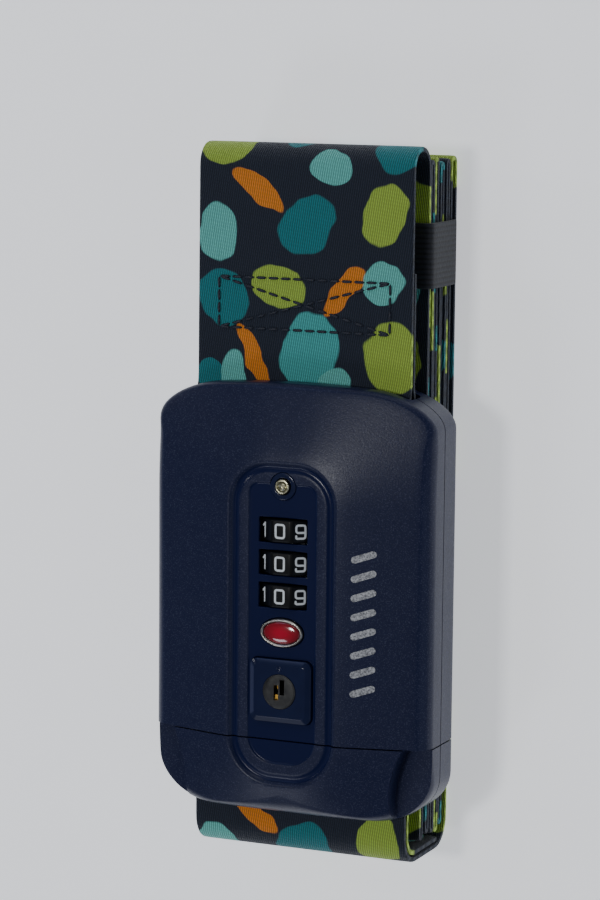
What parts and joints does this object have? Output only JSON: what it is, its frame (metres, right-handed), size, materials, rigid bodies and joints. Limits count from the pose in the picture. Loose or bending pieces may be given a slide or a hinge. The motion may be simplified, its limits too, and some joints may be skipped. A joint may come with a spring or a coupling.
{
  "type": "luggage strap with combination lock buckle",
  "caption": "Luggage strap packed as sold: closed combination-lock buckle with number dials, key cylinder and pull-out tongue, on flat printed webbing folded and banded behind it.",
  "frame": {"origin": "on the surface that the strap lies on, under the middle of the folded bundle", "axes": "+Z out of the dial face, +Y along the strap towards the end where it is sewn to the housing, +X across"},
  "size_m": [0.065, 0.156, 0.0367],
  "materials": {
    "navy_shell": "fine spark-eroded texture with a metallic fleck",
    "navy_gloss": "polished",
    "dial_plastic": "satin black with printed digits",
    "steel": "zinc plated",
    "nickel": "dull nickel plate",
    "zinc": "as cast",
    "brass": "machined",
    "red_enamel": "domed enamel",
    "webbing": "printed woven polyester",
    "elastic": "woven elastic"
  },
  "bodies": {
    "housing": {"front_cover": "navy_shell", "back_cover": "navy_shell", "cover_screw_1": "steel", "cover_screw_2": "steel", "cover_screw_3": "steel", "cover_screw_4": "steel", "lock_chassis": "zinc", "dial_shaft": "steel", "detent_spring": "steel", "reset_boss": "navy_gloss", "reset_spring": "steel", "badge_rim": "nickel", "badge_lens": "red_enamel", "button_spring_left": "steel", "button_spring_right": "steel", "housing_bar": "steel", "webbing": "webbing", "elastic_band": "elastic"},
    "dial_1": {"dial_1": "dial_plastic", "dial_clutch_1": "brass"},
    "dial_2": {"dial_2": "dial_plastic", "dial_clutch_2": "brass"},
    "dial_3": {"dial_3": "dial_plastic", "dial_clutch_3": "brass"},
    "reset_button": {"reset_button": "brass"},
    "release_button": {"release_button": "navy_gloss", "cylinder_sleeve": "nickel"},
    "key_plug": {"key_plug": "nickel", "plug_clip": "steel", "plug_cam": "steel"},
    "latch_left": {"latch_left": "steel"},
    "latch_right": {"latch_right": "steel"},
    "tongue": {"tongue_front_cover": "navy_shell", "tongue_back_cover": "navy_shell", "tongue_plate": "steel", "tongue_bar": "steel", "tongue_screw_1": "steel", "tongue_screw_2": "steel", "webbing_tongue_end": "webbing"}
  },
  "joints": [
    {"name": "dial_1_turn", "type": "hinge", "parent": "housing", "child": "dial_1", "pos_m": [0, -0.0041, 0.02878], "axis": [0, 1, 0], "continuous": true},
    {"name": "dial_2_turn", "type": "hinge", "parent": "housing", "child": "dial_2", "pos_m": [0, -0.0112, 0.02878], "axis": [0, 1, 0], "continuous": true},
    {"name": "dial_3_turn", "type": "hinge", "parent": "housing", "child": "dial_3", "pos_m": [0, -0.0183, 0.02878], "axis": [0, 1, 0], "continuous": true},
    {"name": "reset_press", "type": "slide", "parent": "housing", "child": "reset_button", "axis": [0, 0, -1], "range_m": [0, 0.0012], "stiffness_N_per_m": 1200, "deforming": ["reset_spring"]},
    {"name": "button_press", "type": "slide", "parent": "housing", "child": "release_button", "axis": [0, 0, -1], "range_m": [0, 0.002], "stiffness_N_per_m": 1500, "deforming": ["button_spring_left", "button_spring_right"]},
    {"name": "key_turn", "type": "hinge", "parent": "release_button", "child": "key_plug", "pos_m": [0, -0.039, 0.02528], "axis": [0, 0, -1], "range_deg": [0, 90]},
    {"name": "latch_left_slide", "type": "slide", "parent": "housing", "child": "latch_left", "axis": [-1, 0, 0], "range_m": [0, 0.002]},
    {"name": "latch_right_slide", "type": "slide", "parent": "housing", "child": "latch_right", "axis": [1, 0, 0], "range_m": [0, 0.002]},
    {"name": "tongue_pull", "type": "slide", "parent": "housing", "child": "tongue", "axis": [0, -1, 0], "range_m": [0, 0.024]}
  ],
  "couplings": [
    {"joint": "latch_left_slide", "follows": "button_press", "ratio": 1},
    {"joint": "latch_right_slide", "follows": "button_press", "ratio": 1}
  ]
}
